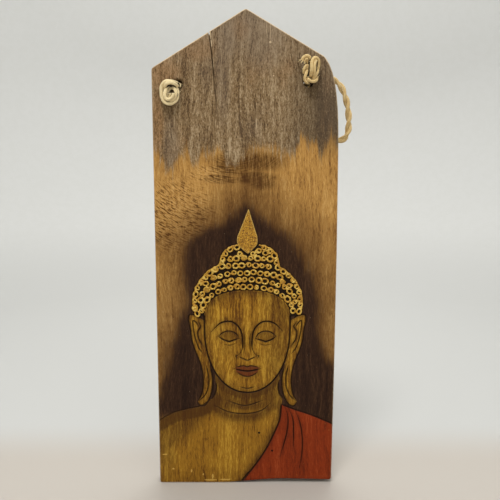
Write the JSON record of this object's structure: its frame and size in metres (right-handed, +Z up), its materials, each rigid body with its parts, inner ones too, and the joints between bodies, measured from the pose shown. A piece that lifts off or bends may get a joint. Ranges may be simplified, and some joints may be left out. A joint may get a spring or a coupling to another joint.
{
  "type": "painted and carved wall hanging",
  "caption": "Upright plank with a pointed top and a carved, gilded and painted head of a Buddha, hung by a knotted rope through its upper corners.",
  "frame": {"origin": "on the back face, on the plank's centre line, between the rope holes and level with them, where it hangs", "axes": "+Z up along the plank, +Y out of its back towards the wall, +X to the viewer's right"},
  "size_m": [0.2611, 0.0587, 0.6249],
  "materials": {
    "wood": "weathered teak, matt, with gold, brown and red paint rubbed over the lower half",
    "rope": "twisted straw-coloured plant fibre"
  },
  "bodies": {
    "root": {"board": "wood", "rope": "rope", "knot_left": "rope", "knot_right": "rope"}
  },
  "joints": []
}
